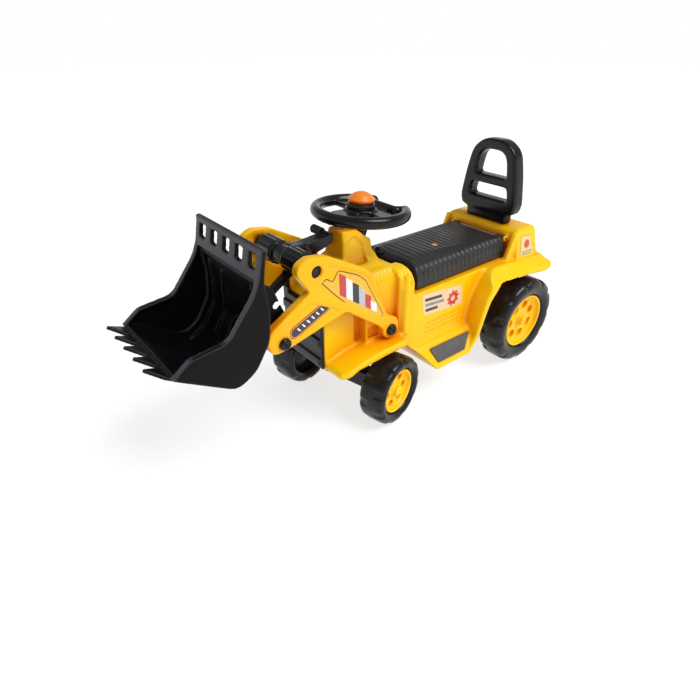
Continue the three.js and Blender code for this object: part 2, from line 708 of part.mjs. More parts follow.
function tiltLink() {
  const along = new THREE.Vector2().subVectors(BUCKET_PIN, LEVER_PIN);
  const half = 5;
  const geometry = new THREE.BoxGeometry(along.length(), LINK_HALF * 2, half * 2);
  geometry.rotateY(-Math.atan2(along.y, along.x));
  geometry.translate((LEVER_PIN.x + BUCKET_PIN.x) / 2, 0, (LEVER_PIN.y + BUCKET_PIN.y) / 2);
  const eyes = [rodY(8, LEVER_PIN, -LINK_HALF, LINK_HALF), rodY(8.4, BUCKET_PIN, -LINK_HALF, LINK_HALF)];
  const bores = [rodY(LEVER_PIN_R + GAP, LEVER_PIN, -9, 9, 16), rodY(BUCKET_PIN_R + OPEN_PIVOT_GAP, BUCKET_PIN, -9, 9, 16)];
  return cut(join(solid(geometry), ...eyes), ...bores);
}

// A flat pointed tooth under the cutting edge, reaching the very front of the object.
function tooth(y) {
  const under = 4;
  const reach = (LENGTH / 2 - CUTTING_EDGE.x - under * Math.sin(TOOTH_SLOPE)) / Math.cos(TOOTH_SLOPE);
  const shape = outline([[-18, -13], [4, -13.5], [reach, -1.2], [reach, 1.2], [4, 13.5], [-18, 13]]);
  const geometry = extruded(shape, under + 1, 2);
  geometry.translate(0, 0, -under);
  geometry.rotateY(-TOOTH_SLOPE);
  geometry.translate(CUTTING_EDGE.x, y, CUTTING_EDGE.y);
  return solid(geometry);
}

function bucket() {
  const outer = sideways(
    [
      [236, 353, 2],
      [242, 353, 2],
      [250, 317, 4],
      [259, 297, 8],
      [299, 248.5, 10],
      [350, 243, 6],
      [CUTTING_EDGE.x, CUTTING_EDGE.y],
      [296, 175, 14],
      [266, 192, 10],
      [243, 228, 8],
      [238, 270, 8],
      [243, 312, 4],
    ],
    -BUCKET_HALF,
    BUCKET_HALF,
  );
  const inner = sideways(
    [
      [252, 313],
      [247.5, 311],
      [242.7, 270, 8],
      [247.5, 231, 8],
      [269, 197, 10],
      [296, 181, 14],
      [372, 228.6],
      [400, 246],
      [400, 340],
      [300, 340],
    ],
    -BUCKET_HALF + BUCKET_WALL,
    BUCKET_HALF - BUCKET_WALL,
  );
  const windows = [-2, -1, 0, 1, 2].map((i) => box(225, 262, i * 33.6 - 8.8, i * 33.6 + 8.8, 324.5, 343.5));
  const ears = both((side) =>
    sideways(
      [[203, 200, 8], [199, 240, 6], [217, 288, 6], [241, 300], [241, 268], [246, 230], [252, 214], [236, 197, 6]],
      ...spanY(side, 54, 60),
    ),
  );
  const linkLugs = both((side) =>
    sideways([[219, 224, 3], [226, 231, 4], [243, 240], [249, 218], [231, 215, 3], [221, 216, 3]], ...spanY(side, 7.5, 13)),
  );
  const linkPin = rodY(BUCKET_PIN_R, BUCKET_PIN, -13, 13, 16);
  const innerRibs = both((side) =>
    sideways([[241, 300], [249, 296], [247, 268], [251, 234], [272, 202], [298, 185], [330, 204], [330, 200], [296, 178], [266, 194], [243, 230]],
      ...spanY(side, 56, 59)),
  );
  const bores = [rodY(BUCKET_SHAFT_R + GAP, BUCKET_PIVOT, -70, 70), rodY(6, new THREE.Vector2(212, 259), -70, 70, 16)];
  const lips = both((side) =>
    sideways(
      [[250, 317], [259, 297, 8], [299, 248.5, 8], [350, 243, 6], [374.6, 224.6], [371.2, 223], [348.6, 239.6, 6], [297.2, 245, 8],
        [255.6, 295.4, 8], [247, 315]],
      ...spanY(side, 78, BUCKET_HALF),
    ),
  );
  const pan = cut(outer, inner, ...windows);
  return cut(join(pan, lips, ears, linkLugs, linkPin, innerRibs, ...TEETH_Y.map(tooth)), ...bores);
}

// ---------------------------------------------------------------- scene
const digger = new THREE.Group();
digger.name = "ride_on_digger";

digger.add(mesh("body_shell", bodyShell(), YELLOW));
digger.add(mesh("front_grille", frontGrille(), BLACK));
digger.add(mesh("chassis_base", chassisBase(), BLACK));
digger.add(mesh("storage_bin", storageBin(), BLACK));
digger.add(mesh("backrest", backrest(), BLACK));
digger.add(mesh("backrest_screw_left", backrestScrew(1), STEEL));
digger.add(mesh("backrest_screw_right", backrestScrew(-1), STEEL));
digger.add(mesh("step_pad_left", stepPad(1), GREY));
digger.add(mesh("step_pad_right", stepPad(-1), GREY));
digger.add(mesh("arm_pivot_shaft", rodY(PIVOT_SHAFT_R, ARM_PIVOT, -ARM_OUTER, ARM_OUTER), STEEL));
digger.add(mesh("arm_pivot_cap_left", pivotCap(9.5, ARM_PIVOT, 1), BLACK));
digger.add(mesh("arm_pivot_cap_right", pivotCap(9.5, ARM_PIVOT, -1), BLACK));
digger.add(mesh("seat_hinge_rod", rodY(HINGE_ROD_R, HINGE, -66, 66, 14), STEEL));
digger.add(mesh("seat_lid", seatLid(), CHARCOAL));
digger.add(mesh("seat_knob", seatKnob(), BLACK));

const rearAxle = new THREE.Group();
rearAxle.position.set(REAR_AXLE_X, 0, REAR_TYRE_R);
rearAxle.add(mesh("rear_axle_rod", rodY(AXLE_R, new THREE.Vector2(0, 0), -120, 120), STEEL));
for (const [name, side] of [["left", 1], ["right", -1]]) {
  const made = wheel(`rear_${name}`, "rear", side);
  made.position.y = side * REAR_TRACK_Y;
  rearAxle.add(made);
}
digger.add(rearAxle);

const frontAxle = new THREE.Group();
frontAxle.position.set(FRONT_AXLE_X, 0, 0);
frontAxle.rotation.z = STEER_AT_REST;
frontAxle.add(mesh("front_axle_carrier", frontCarrier(), BLACK));
frontAxle.add(mesh("front_axle_rod", rodY(AXLE_R, new THREE.Vector2(0, FRONT_TYRE_R), -110, 110), STEEL));
for (const [name, side] of [["left", 1], ["right", -1]]) {
  const made = wheel(`front_${name}`, "front", side);
  made.position.set(0, side * FRONT_TRACK_Y, FRONT_TYRE_R);
  frontAxle.add(made);
}
digger.add(frontAxle);

const column = new THREE.Group();
column.position.copy(WHEEL_CENTRE);
column.rotation.y = -COLUMN_RAKE;
const turned = new THREE.Group();
turned.rotation.z = STEER_AT_REST;
column.add(turned);
turned.add(mesh("steering_shaft", steeringShaft(), STEEL));
turned.add(mesh("column_collar", columnCollar(), BLACK));
digger.add(column);

// The steering ring lies flatter than the column is raked.
const ring = new THREE.Group();
ring.position.copy(WHEEL_CENTRE);
ring.rotation.y = -RING_TILT;
ring.add(mesh("steering_wheel", steeringWheel(), BLACK));
ring.add(mesh("horn_base", hornBase(), BLACK));
ring.add(mesh("horn_spring", hornSpring(), STEEL));
ring.add(mesh("horn_button", hornButton(), ORANGE));
digger.add(ring);

digger.add(mesh("arm_left", arm(1), YELLOW));
digger.add(mesh("arm_right", arm(-1), YELLOW));
digger.add(mesh("knee_shaft", rodY(KNEE_SHAFT_R, KNEE, -72, 72), BLACK));
digger.add(mesh("bucket_pivot_shaft", rodY(BUCKET_SHAFT_R, BUCKET_PIVOT, -ARM_OUTER, ARM_OUTER), STEEL));
digger.add(mesh("bucket_pivot_cap_left", pivotCap(9, BUCKET_PIVOT, 1), BLACK));
digger.add(mesh("bucket_pivot_cap_right", pivotCap(9, BUCKET_PIVOT, -1), BLACK));
digger.add(mesh("control_lever", controlLever(), BLACK));
digger.add(mesh("lever_grip", leverGrip(), CHARCOAL));
digger.add(mesh("tilt_link", tiltLink(), BLACK));
digger.add(mesh("bucket", bucket(), BLACK));

export default digger;
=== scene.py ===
"""Looks for the ride-on digger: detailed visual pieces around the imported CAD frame, in the row frame."""

import json
import math

import bmesh
import bpy
import numpy as np
from mathutils import Matrix, Vector

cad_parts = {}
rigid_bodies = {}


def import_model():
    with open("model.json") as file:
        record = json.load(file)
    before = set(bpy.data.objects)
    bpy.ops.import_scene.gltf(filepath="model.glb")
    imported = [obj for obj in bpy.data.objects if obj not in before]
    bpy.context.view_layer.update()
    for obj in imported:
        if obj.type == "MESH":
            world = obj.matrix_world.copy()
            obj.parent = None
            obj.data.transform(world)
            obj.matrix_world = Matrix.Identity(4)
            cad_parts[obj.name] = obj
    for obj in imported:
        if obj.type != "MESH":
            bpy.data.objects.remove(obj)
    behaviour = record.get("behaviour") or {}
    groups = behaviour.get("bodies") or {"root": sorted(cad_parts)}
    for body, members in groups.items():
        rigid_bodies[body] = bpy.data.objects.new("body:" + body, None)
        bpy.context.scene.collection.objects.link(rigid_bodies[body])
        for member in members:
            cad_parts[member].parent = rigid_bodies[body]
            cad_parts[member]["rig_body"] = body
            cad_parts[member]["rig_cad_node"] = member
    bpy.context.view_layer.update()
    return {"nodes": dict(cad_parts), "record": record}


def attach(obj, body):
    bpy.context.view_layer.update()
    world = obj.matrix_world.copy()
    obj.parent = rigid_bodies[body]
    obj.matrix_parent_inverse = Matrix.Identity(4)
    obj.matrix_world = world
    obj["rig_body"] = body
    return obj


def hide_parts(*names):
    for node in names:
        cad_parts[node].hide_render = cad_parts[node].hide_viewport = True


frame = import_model()

MM = 0.001
NODES = frame["nodes"]
NODE_BODY = {n: b for b, members in frame["record"]["behaviour"]["bodies"].items() for n in members}
AXES = {"x": (1, 2, 0), "y": (0, 2, 1), "z": (0, 1, 2)}

# Places in the row frame, in millimetres. The pivots are (x, z).
ARM_ROOT = (17, 159)
KNEE = (158, 298)
BUCKET_PIVOT = (216, 210)
GRIP = (84, 312)
KNOB_X = -23
REAR_AXLE_X, REAR_HALF_TRACK = -295.6, 106.5
FRONT_AXLE_X, FRONT_HALF_TRACK = 52.9, 98.5
STEERED = 13  # degrees that the front wheels are turned at rest
REAR_WHEEL = {"radius": 84.5, "width": 52, "rim": 53, "depth": 21, "holes": 7, "lugs": 11}
FRONT_WHEEL = {"radius": 60, "width": 48, "rim": 39, "depth": 19, "holes": 6, "lugs": 9}
STEERING_CENTRE, STEERING_TILT = (17.5, 0, 334), -4
STEERING_RADIUS, STEERING_GAP = 68.7, 148  # the ring runs this many degrees each way from the front
NECK_FOOT_Z, NECK_HALF_WIDTH = 262, 25
PLATE_Y = 76.6  # depth of the sunk fields in the arm's outer face


# ---------------------------------------------------------------- mesh helpers (lengths in millimetres)
def make(name, verts, faces):
    """A closed mesh object from vertices in millimetres, with its normals facing out."""
    mesh = bpy.data.meshes.new(name)
    mesh.from_pydata([Vector(v) * MM for v in verts], [], faces)
    made = bmesh.new()
    made.from_mesh(mesh)
    bmesh.ops.remove_doubles(made, verts=made.verts, dist=1e-7)
    bmesh.ops.triangulate(made, faces=[f for f in made.faces if len(f.verts) > 4])
    bmesh.ops.recalc_face_normals(made, faces=made.faces)
    made.to_mesh(mesh)
    made.free()
    obj = bpy.data.objects.new(name, mesh)
    bpy.context.scene.collection.objects.link(obj)
    return obj


def rounded(points, steps=4):
    """A closed outline from (a, b) or (a, b, corner radius) points."""
    made = []
    for i, p in enumerate(points):
        here = Vector(p[:2])
        before = Vector(points[i - 1][:2]) - here
        after = Vector(points[(i + 1) % len(points)][:2]) - here
        radius = min(p[2] if len(p) > 2 else 0, 0.45 * before.length, 0.45 * after.length)
        if not radius:
            made.append(here)
            continue
        start, end = here + before.normalized() * radius, here + after.normalized() * radius
        for k in range(steps + 1):
            t = k / steps
            made.append((1 - t) ** 2 * start + 2 * t * (1 - t) * here + t * t * end)
    return made


def inset(points, gap):
    """The outline moved inwards by gap. It turns either way round."""
    ring = [Vector(p) for p in points]
    area = sum(a.x * b.y - b.x * a.y for a, b in zip(ring, ring[1:] + ring[:1]))
    turn = 1 if area > 0 else -1
    made = []
    for i, here in enumerate(ring):
        into = (here - ring[i - 1]).normalized()
        out = (ring[(i + 1) % len(ring)] - here).normalized()
        normal = (Vector((-into.y, into.x)) + Vector((-out.y, out.x))) * turn
        length = max(normal.length, 1e-6)
        made.append(here + normal / length * gap * min(1.8, 2 / length))
    return made


def shrunk(points, gap, steps):
    """A rounded outline moved inwards, ready for another shape."""
    return [tuple(p) for p in inset(rounded(points, steps), gap)]


def prism(points, low, high, along="y", steps=4):
    """An outline drawn out along one axis."""
    ring = rounded(points, steps)
    ia, ib, ic = AXES[along]
    verts = []
    for level in (low, high):
        for p in ring:
            v = [0, 0, 0]
            v[ia], v[ib], v[ic] = p[0], p[1], level
            verts.append(v)
    n = len(ring)
    sides = [[i, (i + 1) % n, n + (i + 1) % n, n + i] for i in range(n)]
    return make("prism", verts, [list(range(n)), list(range(n, 2 * n))] + sides)


def box(x0, x1, y0, y1, z0, z1):
    return prism([(x0, z0), (x1, z0), (x1, z1), (x0, z1)], y0, y1)


def lathe(profile, sides=64, dent=None):
    """A closed (radius, height) profile turned about z. dent(angle, radius, height) comes off the radius."""
    verts, count = [], len(profile)
    for k in range(sides):
        angle = 2 * math.pi * k / sides
        for r, h in profile:
            r = max(r, 0.01) - (dent(angle, r, h) if dent else 0)
            verts.append((r * math.cos(angle), r * math.sin(angle), h))
    faces = []
    for k in range(sides):
        for i in range(count):
            a, b = k * count + i, k * count + (i + 1) % count
            c, d = (k + 1) % sides * count + (i + 1) % count, (k + 1) % sides * count + i
            faces.append([a, b, c, d])
    return make("lathe", verts, faces)


def rod(radius, start, end, sides=24):
    """A cylinder between two points."""
    start, end = Vector(start), Vector(end)
    length = (end - start).length
    made = prism(circle(radius, sides), 0, length, "z")
    turn = (end - start).to_track_quat("Z", "Y").to_matrix().to_4x4()
    return placed(made, Matrix.Translation(start * MM) @ turn)


def ball(radius, centre):
    rings = 10
    profile = [(radius * math.sin(math.pi * k / rings), -radius * math.cos(math.pi * k / rings))
               for k in range(rings + 1)]
    return placed(lathe(profile, 24), at(*centre))


def tube(path, radius, sides=18):
    """A round tube along a flat path in x, y."""
    points = [Vector((*p, 0)) for p in path]
    verts = []
    for i, p in enumerate(points):
        along = (points[min(i + 1, len(points) - 1)] - points[max(i - 1, 0)]).normalized()
        side = Vector((-along.y, along.x, 0))
        for k in range(sides):
            a = 2 * math.pi * k / sides
            verts.append(p + radius * (side * math.cos(a) + Vector((0, 0, 1)) * math.sin(a)))
    faces = [list(range(sides)), list(range(len(verts) - sides, len(verts)))]
    for i in range(len(points) - 1):
        for k in range(sides):
            a, b = i * sides + k, i * sides + (k + 1) % sides
            faces.append([a, b, b + sides, a + sides])
    return make("tube", verts, faces)


def placed(obj, matrix):
    """The mesh moved by a matrix in metres, with the object left at the origin."""
    obj.data.transform(matrix)
    if matrix.determinant() < 0:
        obj.data.flip_normals()
    return obj


def at(x, y, z):
    """A shift in millimetres."""
    return Matrix.Translation(Vector((x, y, z)) * MM)


def circle(radius, sides, centre=(0, 0), stretch=1):
    """Points round a circle, or round an oval whose second half-axis is radius times stretch."""
    turns = (2 * math.pi * k / sides for k in range(sides))
    return [(centre[0] + radius * math.cos(a), centre[1] + radius * stretch * math.sin(a)) for a in turns]


def flipped(obj):
    """A piece built for the rider's left, mirrored to the right."""
    return placed(obj, Matrix.Diagonal((1, -1, 1, 1)))


def mirrored_pair(build):
    return [build(), flipped(build())]


def joined(name, parts):
    """One object out of several, with their materials kept."""
    target, others = parts[0], parts[1:]
    made = bmesh.new()
    slots = []
    for part in parts:
        offset = len(slots)
        slots += list(part.data.materials)
        before = len(made.faces)
        made.from_mesh(part.data)
        made.faces.ensure_lookup_table()
        for face in made.faces[before:]:
            face.material_index += offset
    target.data.materials.clear()
    for material in slots:
        target.data.materials.append(material)
    made.to_mesh(target.data)
    made.free()
    for part in others:
        bpy.data.objects.remove(part)
    target.name = name
    return target


def applied(obj):
    """Puts the modifiers into the mesh."""
    bpy.context.view_layer.update()
    graph = bpy.context.evaluated_depsgraph_get()
    mesh = bpy.data.meshes.new_from_object(obj.evaluated_get(graph))
    obj.modifiers.clear()
    obj.data = mesh
    return obj


def cut(obj, *tools):
    """Takes closed tools out of a closed mesh, one after the other."""
    for tool in tools:
        made = obj.modifiers.new("cut", "BOOLEAN")
        made.operation, made.solver, made.object = "DIFFERENCE", "MANIFOLD", tool
        applied(obj)
        bpy.data.objects.remove(tool)
    return obj


def fused(obj, voxel, smooth=0):
    """Melts overlapping closed shells into one skin, and softens its edges."""
    made = obj.modifiers.new("skin", "REMESH")
    made.mode, made.voxel_size, made.use_smooth_shade = "VOXEL", voxel * MM, True
    if smooth:
        soft = obj.modifiers.new("soft", "SMOOTH")
        soft.factor, soft.iterations = 0.5, smooth
    return applied(obj)


def pressed(obj, depth):
    """Moves each point into the surface by depth(point, normal), both in arrays and in millimetres."""
    count = len(obj.data.vertices)
    points, normals = np.zeros(count * 3), np.zeros(count * 3)
    obj.data.vertices.foreach_get("co", points)
    obj.data.vertices.foreach_get("normal", normals)
    points, normals = points.reshape(-1, 3) / MM, normals.reshape(-1, 3)
    moved = points - normals * depth(points.T, normals.T)[:, None]
    obj.data.vertices.foreach_set("co", (moved * MM).ravel())
    obj.data.update()
    return obj


def rise(values, start, end):
    """0 before start, 1 after end, smooth between."""
    t = np.clip((values - start) / (end - start), 0, 1)
    return t * t * (3 - 2 * t)


def shaded(obj):
    obj.data.shade_smooth()
    return obj


def bevelled(obj, width, segments=2, angle=35):
    made = obj.modifiers.new("edge", "BEVEL")
    made.width, made.segments = width * MM, segments
    made.limit_method, made.angle_limit = "ANGLE", math.radians(angle)
    made.harden_normals = True
    return shaded(applied(obj))


def cad_copy(node):
    """A new object with a copy of a CAD node's mesh, welded closed."""
    obj = bpy.data.objects.new(node + "_copy", NODES[node].data.copy())
    bpy.context.scene.collection.objects.link(obj)
    made = bmesh.new()
    made.from_mesh(obj.data)
    bmesh.ops.remove_doubles(made, verts=made.verts, dist=1e-6)
    bmesh.ops.recalc_face_normals(made, faces=made.faces)
    made.to_mesh(obj.data)
    made.free()
    obj.data.materials.clear()
    return obj


def piece(obj, name, material, slot, *nodes, body=None):
    """Finishes a visual piece: name, material, the CAD nodes it stands for and the body it rides. The slot
    argument is not used.
    """
    obj.name = name
    obj.data.name = name
    if material:
        obj.data.materials.clear()
        obj.data.materials.append(material)
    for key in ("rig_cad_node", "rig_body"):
        if key in obj:
            del obj[key]
    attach(obj, body or NODE_BODY[nodes[0]])
    if nodes:
        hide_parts(*nodes)
    return obj


# ---------------------------------------------------------------- materials
def new_material(name, **values):
    material = bpy.data.materials.new(name)
    material.use_nodes = True
    shader = material.node_tree.nodes["Principled BSDF"]
    for socket, value in values.items():
        shader.inputs[socket.replace("_", " ")].default_value = value
    return material, material.node_tree, shader


def noise(tree, where, scale, detail=4, rough=0.55, stretch=None):
    node = tree.nodes.new("ShaderNodeTexNoise")
    node.inputs["Scale"].default_value = scale
    node.inputs["Detail"].default_value = detail
    node.inputs["Roughness"].default_value = rough
    if stretch:
        mapping = tree.nodes.new("ShaderNodeMapping")
        mapping.inputs["Scale"].default_value = stretch
        tree.links.new(where, mapping.inputs["Vector"])
        where = mapping.outputs["Vector"]
    tree.links.new(where, node.inputs["Vector"])
    return node.outputs["Fac"]


def ramp(tree, fac, stops):
    node = tree.nodes.new("ShaderNodeValToRGB")
    first, last = node.color_ramp.elements
    first.position, first.color = stops[0][0], (*stops[0][1], 1)
    last.position, last.color = stops[-1][0], (*stops[-1][1], 1)
    for position, colour in stops[1:-1]:
        made = node.color_ramp.elements.new(position)
        made.color = (*colour, 1)
    tree.links.new(fac, node.inputs["Fac"])
    return node.outputs["Color"]


def spread(tree, fac, low, high, from_low=0.3, from_high=0.7):
    node = tree.nodes.new("ShaderNodeMapRange")
    for socket, value in (("From Min", from_low), ("From Max", from_high), ("To Min", low),
                          ("To Max", high)):
        node.inputs[socket].default_value = value
    tree.links.new(fac, node.inputs["Value"])
    return node.outputs["Result"]


def mixed(tree, fac, a, b):
    node = tree.nodes.new("ShaderNodeMix")
    node.data_type = "RGBA"
    tree.links.new(fac, node.inputs["Factor"])
    for value, socket in ((a, node.inputs["A"]), (b, node.inputs["B"])):
        target = [s for s in node.inputs if s.name == socket.name and s.type == "RGBA"][0]
        if isinstance(value, tuple):
            target.default_value = (*value, 1)
        else:
            tree.links.new(value, target)
    return [s for s in node.outputs if s.type == "RGBA"][0]


def painted_sheen(tree, where, colour, mottle_and_sheen):
    """Paints a sheen onto the guard and the rims of the bucket where they look up and forward: a painted
    highlight standing in for light falling on them.
    """
    facing = tree.nodes.new("ShaderNodeVectorMath")
    facing.operation = "DOT_PRODUCT"
    tree.links.new(tree.nodes.new("ShaderNodeTexCoord").outputs["Normal"], facing.inputs[0])
    facing.inputs[1].default_value = (0.9, 0, 0.44)
    split = tree.nodes.new("ShaderNodeSeparateXYZ")
    tree.links.new(where, split.inputs[0])
    across = tree.nodes.new("ShaderNodeMath")
    across.operation = "ABSOLUTE"
    tree.links.new(split.outputs["Y"], across.inputs[0])
    either = tree.nodes.new("ShaderNodeMath")
    either.operation = "MAXIMUM"
    tree.links.new(spread(tree, split.outputs["Z"], 0, 1, 0.302, 0.306), either.inputs[0])
    tree.links.new(spread(tree, across.outputs["Value"], 0, 1, 0.0772, 0.0785), either.inputs[1])
    mask = tree.nodes.new("ShaderNodeMath")
    mask.operation = "MULTIPLY"
    tree.links.new(either.outputs["Value"], mask.inputs[0])
    tree.links.new(spread(tree, facing.outputs["Value"], 0, 1, 0.55, 0.85), mask.inputs[1])
    return mixed(tree, mask.outputs["Value"], colour, mottle_and_sheen)


def moulded(name, light, dark, rubbed_and_highlit, rough, grain=900, grain_depth=0.00006, wave_depth=0.0004, edge_rub_and_highlight=0.35,
            painted_shade=None, mottle_and_sheen=None, **values):
    """Moulded plastic: a slow random change of tone, uneven gloss, fine grain over shallow sink waves, and
    lighter edges, partly rubbed by use and partly a painted highlight.
    The optional shade colour is a painted shade, warmer and darker, mixed in where the walls face each other;
    the optional sheen colour is a painted sheen on the bucket's guard and rims where they look up and
    forward."""
    material, tree, shader = new_material(name, **values)
    where = tree.nodes.new("ShaderNodeTexCoord").outputs["Object"]
    tone_shade_and_sheen = ramp(tree, noise(tree, where, 7, 5), [(0.32, dark), (0.62, light)])
    # Painted shade: a warmer, darker colour mixed in where ambient occlusion finds walls close by.
    if painted_shade:
        hollow = tree.nodes.new("ShaderNodeAmbientOcclusion")
        hollow.samples = 6
        hollow.inputs["Distance"].default_value = 0.045
        tone_shade_and_sheen = mixed(tree, spread(tree, hollow.outputs["AO"], 1.0, 0, 0.3, 0.95), tone_shade_and_sheen, painted_shade)
    # Painted sheen: the bucket's guard and rims are lightened where they face up and forward.
    if mottle_and_sheen:
        tone_shade_and_sheen = painted_sheen(tree, where, tone_shade_and_sheen, mottle_and_sheen)
    # Lighter edges: partly rubbed by use, partly a painted highlight where the edges catch the light.
    edges = tree.nodes.new("ShaderNodeNewGeometry").outputs["Pointiness"]
    rub_and_highlight = tree.nodes.new("ShaderNodeMath")
    rub_and_highlight.operation = "MULTIPLY"
    tree.links.new(spread(tree, edges, 0, edge_rub_and_highlight, 0.52, 0.62), rub_and_highlight.inputs[0])
    tree.links.new(spread(tree, noise(tree, where, 60, 3), 0.2, 1), rub_and_highlight.inputs[1])
    tree.links.new(mixed(tree, rub_and_highlight.outputs["Value"], tone_shade_and_sheen, rubbed_and_highlit), shader.inputs["Base Color"])
    gloss = spread(tree, noise(tree, where, 24, 6, 0.65), rough[0], rough[1])
    tree.links.new(gloss, shader.inputs["Roughness"])
    waves = tree.nodes.new("ShaderNodeBump")
    waves.inputs["Distance"].default_value = wave_depth
    waves.inputs["Strength"].default_value = 0.5
    tree.links.new(noise(tree, where, 28, 1), waves.inputs["Height"])
    fine = tree.nodes.new("ShaderNodeBump")
    fine.inputs["Distance"].default_value = grain_depth
    fine.inputs["Strength"].default_value = 0.6
    tree.links.new(noise(tree, where, grain, 2), fine.inputs["Height"])
    tree.links.new(waves.outputs["Normal"], fine.inputs["Normal"])
    tree.links.new(fine.outputs["Normal"], shader.inputs["Normal"])
    return material


def printed(name, colour, mottle_and_sheen):
    """Printed vinyl: a slightly mottled ink under a thin clear film."""
    material, tree, shader = new_material(name, Roughness=0.3, Coat_Weight=0.4, Coat_Roughness=0.15)
    where = tree.nodes.new("ShaderNodeTexCoord").outputs["Object"]
    tree.links.new(ramp(tree, noise(tree, where, 260, 4), [(0.35, mottle_and_sheen), (0.6, colour)]),
                   shader.inputs["Base Color"])
    bump = tree.nodes.new("ShaderNodeBump")
    bump.inputs["Distance"].default_value = 0.00003
    tree.links.new(noise(tree, where, 900, 2), bump.inputs["Height"])
    tree.links.new(bump.outputs["Normal"], shader.inputs["Normal"])
    return material


def turned_steel(name):
    """Drawn steel rod: fine lines along its length, dull patches."""
    material, tree, shader = new_material(name, Metallic=1.0)
    where = tree.nodes.new("ShaderNodeTexCoord").outputs["Object"]
    lines = noise(tree, where, 900, 3, stretch=(1, 0.03, 1))
    tree.links.new(ramp(tree, lines, [(0.3, (0.34, 0.34, 0.35)), (0.7, (0.62, 0.62, 0.63))]),
                   shader.inputs["Base Color"])
    tree.links.new(spread(tree, noise(tree, where, 40, 5), 0.25, 0.5), shader.inputs["Roughness"])
    bump = tree.nodes.new("ShaderNodeBump")
    bump.inputs["Distance"].default_value = 0.00004
    tree.links.new(lines, bump.inputs["Height"])
    tree.links.new(bump.outputs["Normal"], shader.inputs["Normal"])
    return material


# The shade colours given to the yellows and the orange are painted shade, a deeper orange for occluded
# hollows.
YELLOW = moulded("yellow_moulding", (0.96, 0.6, 0.002), (0.93, 0.55, 0.001), (1.0, 0.7, 0.02), (0.24, 0.38),
                 painted_shade=(0.84, 0.22, 0.0), Specular_IOR_Level=0.25)
ARM_YELLOW = moulded("yellow_arm_moulding", (0.94, 0.52, 0.002), (0.91, 0.46, 0.001), (1.0, 0.64, 0.02),
                     (0.26, 0.42), painted_shade=(0.8, 0.2, 0.0), Specular_IOR_Level=0.25)
HUB_YELLOW = moulded("yellow_hub_moulding", (0.97, 0.64, 0.005), (0.94, 0.56, 0.003), (1.0, 0.74, 0.03),
                     (0.24, 0.36), painted_shade=(0.9, 0.36, 0.0), Specular_IOR_Level=0.25)
BLACK = moulded("black_moulding", (0.006, 0.006, 0.007), (0.003, 0.003, 0.004), (0.04, 0.04, 0.043),
                (0.14, 0.28), Specular_IOR_Level=0.3)
# The bucket's lighter guard and rims are a painted sheen; its lighter edges are partly rubbed by use and
# partly a painted highlight.
BUCKET_BLACK = moulded("bucket_moulding", (0.004, 0.004, 0.005), (0.002, 0.002, 0.003), (0.1, 0.1, 0.11),
                       (0.26, 0.42), edge_rub_and_highlight=0.9, mottle_and_sheen=(0.06, 0.058, 0.068), Specular_IOR_Level=0.12)
TYRE_BLACK = moulded("tyre_moulding", (0.007, 0.007, 0.008), (0.004, 0.004, 0.005), (0.03, 0.03, 0.033),
                     (0.18, 0.36), wave_depth=0.0008, Specular_IOR_Level=0.3)
CHARCOAL = moulded("seat_moulding", (0.026, 0.025, 0.026), (0.016, 0.015, 0.016), (0.09, 0.088, 0.088),
                   (0.32, 0.46), grain=1400, grain_depth=0.00012, Specular_IOR_Level=0.4)
ORANGE = moulded("orange_moulding", (0.93, 0.25, 0.012), (0.86, 0.2, 0.008), (1.0, 0.42, 0.08), (0.25, 0.4),
                 painted_shade=(0.75, 0.1, 0.0))
PAD_GREY = moulded("grained_grey_moulding", (0.11, 0.105, 0.105), (0.065, 0.062, 0.062), (0.26, 0.25, 0.25),
                   (0.6, 0.85), grain=620, grain_depth=0.0005)
STEEL = turned_steel("drawn_steel")
INK_WHITE = printed("ink_white", (0.86, 0.86, 0.84), (0.76, 0.76, 0.74))
INK_BLACK = printed("ink_black", (0.012, 0.012, 0.014), (0.03, 0.03, 0.034))
INK_RED = printed("ink_red", (0.62, 0.035, 0.03), (0.5, 0.04, 0.035))
INK_ORANGE = printed("ink_orange", (0.9, 0.24, 0.02), (0.78, 0.2, 0.03))
INK_SILVER = printed("ink_silver", (0.55, 0.55, 0.56), (0.42, 0.42, 0.44))
INK_GREY = printed("ink_grey", (0.2, 0.2, 0.22), (0.3, 0.3, 0.32))
INK_CREAM = printed("ink_cream", (0.84, 0.62, 0.4), (0.8, 0.54, 0.3))
INK_YELLOW = printed("ink_yellow", (0.93, 0.5, 0.01), (0.9, 0.42, 0.008))
INK_PALE_YELLOW = printed("ink_pale_yellow", (0.9, 0.62, 0.2), (0.88, 0.56, 0.12))


# ---------------------------------------------------------------- body
def mouldings(points, normals):
    """Ribs across the round shoulders of hood and nose, and three rows of slots under the side panel."""
    x, y, z = points
    outward = rise(normals[1] * np.sign(y), 0.15, 0.4) * rise(normals[2], 0.0, 0.2) * rise(z, 234, 239)
    hood = rise(np.abs(y), 60, 64) * rise(x, -29, -26) * rise(-x, 1, 3)
    shoulder = rise(np.abs(y), 43, 47) * rise(-np.abs(y), -64, -63) * rise(x, 1, 4) * rise(-x, -53, -49)
    groove = np.clip(np.cos(2 * np.pi * (x + 2) / 7.4), 0, 1) ** 3
    rows = (np.clip(np.cos(2 * np.pi * (z - 123) / 8), 0, 1)
            * rise(z, 118.5, 120.5) * rise(-z, -142.5, -140.5))
    dashes = rise(np.cos(2 * np.pi * (x + 0.3 * z) / 14), -0.75, -0.35)
    dashes *= rise(x, -156, -153) * rise(-x, 60, 63)
    slots = rows * dashes * rise(np.abs(normals[1]), 0.7, 0.9) * rise(np.abs(y), 76, 78)
    return 1.7 * groove * outward * np.clip(hood + shoulder, 0, 1) + 1.7 * slots


